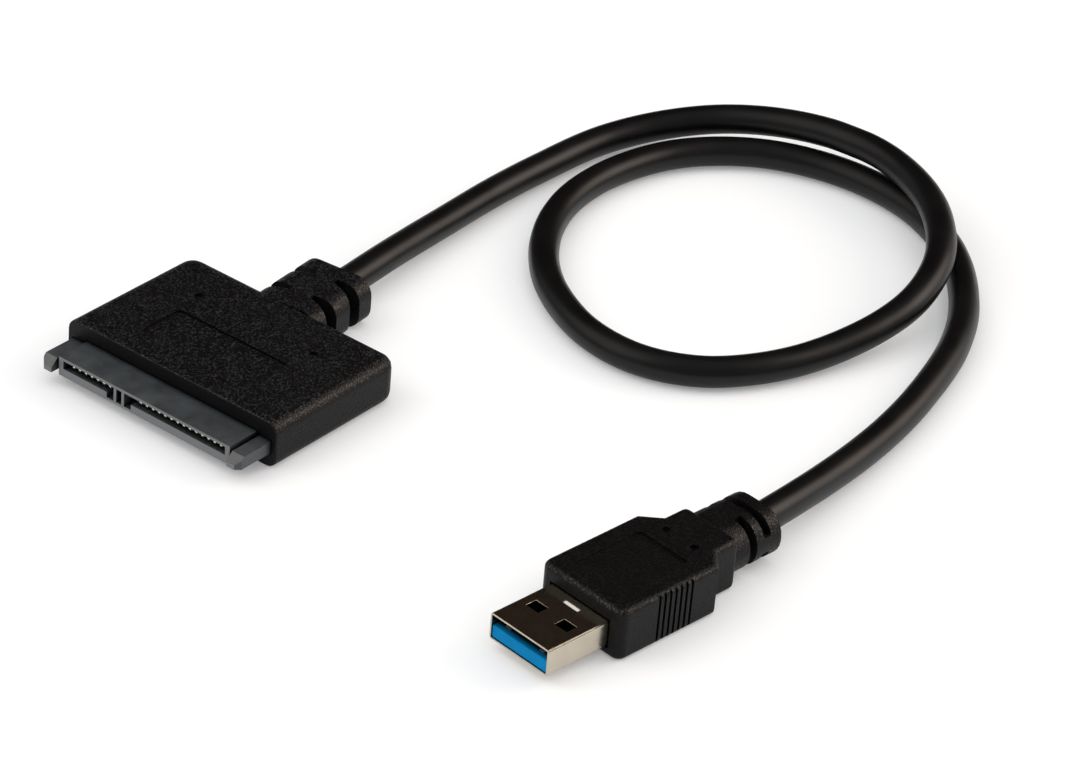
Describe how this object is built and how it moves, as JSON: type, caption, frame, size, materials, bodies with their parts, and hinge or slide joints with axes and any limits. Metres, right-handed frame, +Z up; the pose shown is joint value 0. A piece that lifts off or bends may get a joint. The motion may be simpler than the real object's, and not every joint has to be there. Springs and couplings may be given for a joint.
{
  "type": "usb to sata adapter",
  "caption": "Adapter cable that joins a 2.5-inch drive to a computer: a flat moulded drive plug with a keyed receptacle, a round black cord and a blue-tongued USB plug.",
  "frame": {"origin": "On the surface below the middle of the drive end, which counts its receptacle and its strain relief but not the cord or the USB plug.", "axes": "+Z up. +Y runs from the drive end's mating face to its strain relief, its longest extent. +X runs from the signal contacts to the power contacts. The USB plug lies on the same surface, turned 7.5 degrees clockwise."},
  "size_m": [0.1136, 0.1525, 0.0106],
  "materials": {
    "moulded_black": "black moulded plastic with a fine matte grain",
    "receptacle_grey": "dark grey moulded plastic, faintly clouded",
    "gold_contact": "thin gold plating on copper alloy",
    "board_green": "green solder mask on glass fibre board",
    "chip_black": "bare black chip package",
    "steel_lid": "bright steel lid",
    "inductor_grey": "dark grey ferrite",
    "capacitor_tan": "tan ceramic",
    "shell_nickel": "bright nickel plating on folded steel",
    "tongue_blue": "bright blue moulded plastic",
    "jacket_black": "smooth satin black cord jacket with no print",
    "wire_red": "red wire insulation",
    "wire_white": "white wire insulation",
    "wire_green": "green wire insulation",
    "wire_black": "black wire insulation"
  },
  "bodies": {
    "root": {"drive_housing": "moulded_black", "drive_receptacle": "receptacle_grey", "signal_contact_1": "gold_contact", "signal_contact_2": "gold_contact", "signal_contact_3": "gold_contact", "signal_contact_4": "gold_contact", "signal_contact_5": "gold_contact", "signal_contact_6": "gold_contact", "signal_contact_7": "gold_contact", "power_contact_2": "gold_contact", "power_contact_3": "gold_contact", "power_contact_4": "gold_contact", "power_contact_5": "gold_contact", "power_contact_6": "gold_contact", "power_contact_7": "gold_contact", "power_contact_8": "gold_contact", "power_contact_9": "gold_contact", "power_contact_10": "gold_contact", "power_contact_11": "gold_contact", "power_contact_12": "gold_contact", "power_contact_13": "gold_contact", "power_contact_14": "gold_contact", "power_contact_15": "gold_contact", "circuit_board": "board_green", "bridge_chip": "chip_black", "memory_chip": "chip_black", "crystal": "steel_lid", "inductor": "inductor_grey", "capacitor_1": "capacitor_tan", "capacitor_2": "capacitor_tan", "capacitor_3": "capacitor_tan", "drive_wire_red": "wire_red", "drive_wire_white": "wire_white", "drive_wire_green": "wire_green", "drive_wire_black": "wire_black", "cord": "jacket_black", "usb_housing": "moulded_black", "usb_shell": "shell_nickel", "usb_tongue": "tongue_blue", "flat_contact_1": "gold_contact", "flat_contact_2": "gold_contact", "flat_contact_3": "gold_contact", "flat_contact_4": "gold_contact", "raised_contact_1": "gold_contact", "raised_contact_2": "gold_contact", "raised_contact_3": "gold_contact", "raised_contact_4": "gold_contact", "raised_contact_5": "gold_contact", "plug_wire_red": "wire_red", "plug_wire_white": "wire_white", "plug_wire_green": "wire_green", "plug_wire_black": "wire_black"}
  },
  "joints": []
}
